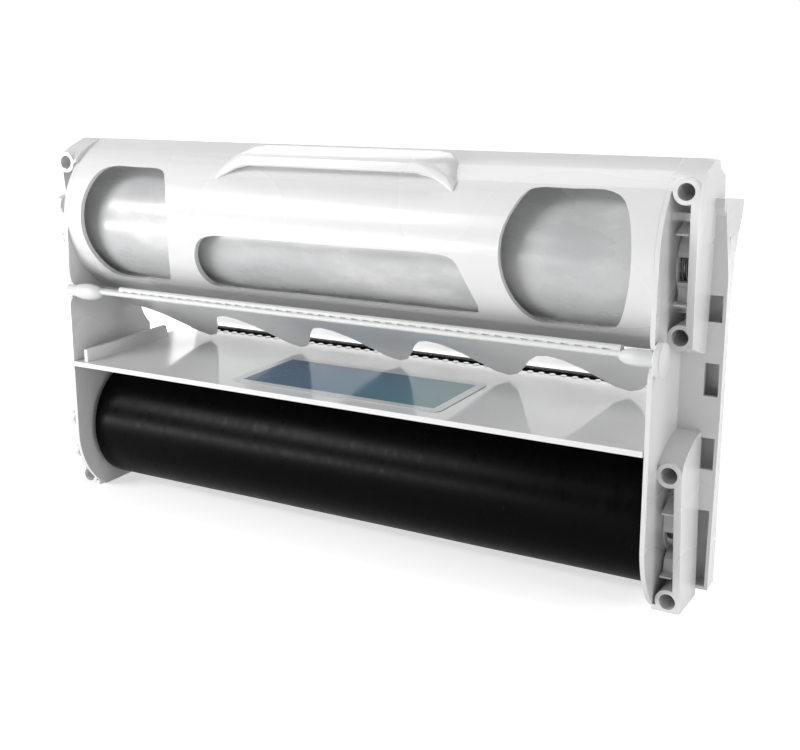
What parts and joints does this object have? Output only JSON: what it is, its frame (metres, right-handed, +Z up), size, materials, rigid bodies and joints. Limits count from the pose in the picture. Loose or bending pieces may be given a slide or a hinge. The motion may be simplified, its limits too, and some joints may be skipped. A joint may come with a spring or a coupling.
{
  "type": "laminator film and magnet cartridge",
  "caption": "Drop-in cold laminator cartridge: film roll under a windowed cover, magnet roll below a feed tray, arched guide comb between flanged side frames.",
  "frame": {"origin": "centre of the bounding box in plan, on the bench under the side frames", "axes": "+X along the rolls to the right as seen from the feed side, +Y from the feed side to the exit side, +Z up"},
  "size_m": [0.2614, 0.0834, 0.1425],
  "materials": {
    "housing_white": "moulded gloss white",
    "comb_white": "moulded satin white",
    "core_card": "kraft card tube",
    "clear_film": "wound clear film, milky grey",
    "magnet_black": "flexible magnet sheet, matt black",
    "label_blue": "printed blue label with no lettering",
    "hub_plastic": "moulded white",
    "spring_steel": "drawn spring wire"
  },
  "bodies": {
    "frame": {"side_frame_left": "housing_white", "side_frame_right": "housing_white", "roll_cover": "housing_white", "feed_tray": "housing_white", "tray_label": "label_blue", "film_web": "clear_film", "magnet_web": "magnet_black", "upper_hub_left": "hub_plastic", "upper_hub_right": "hub_plastic", "lower_hub_left": "hub_plastic", "lower_hub_right": "hub_plastic", "upper_spring_left": "spring_steel", "upper_spring_right": "spring_steel", "lower_spring_left": "spring_steel", "lower_spring_right": "spring_steel"},
    "comb": {"guide_comb": "comb_white"},
    "film_spool": {"film_roll": "clear_film", "upper_core": "core_card"},
    "magnet_spool": {"magnet_roll": "magnet_black", "lower_core": "core_card"}
  },
  "joints": [
    {"name": "film_spool_spin", "type": "hinge", "parent": "frame", "child": "film_spool", "pos_m": [0, -0.00725, 0.1095], "axis": [-1, 0, 0], "continuous": true},
    {"name": "magnet_spool_spin", "type": "hinge", "parent": "frame", "child": "magnet_spool", "pos_m": [0, -0.00725, 0.026], "axis": [1, 0, 0], "continuous": true},
    {"name": "comb_tilt", "type": "hinge", "parent": "frame", "child": "comb", "pos_m": [0, -0.03605, 0.0845], "axis": [1, 0, 0], "range_deg": [0, 3.5]}
  ],
  "couplings": [
    {"joint": "magnet_spool_spin", "follows": "film_spool_spin", "ratio": 0.9414}
  ]
}
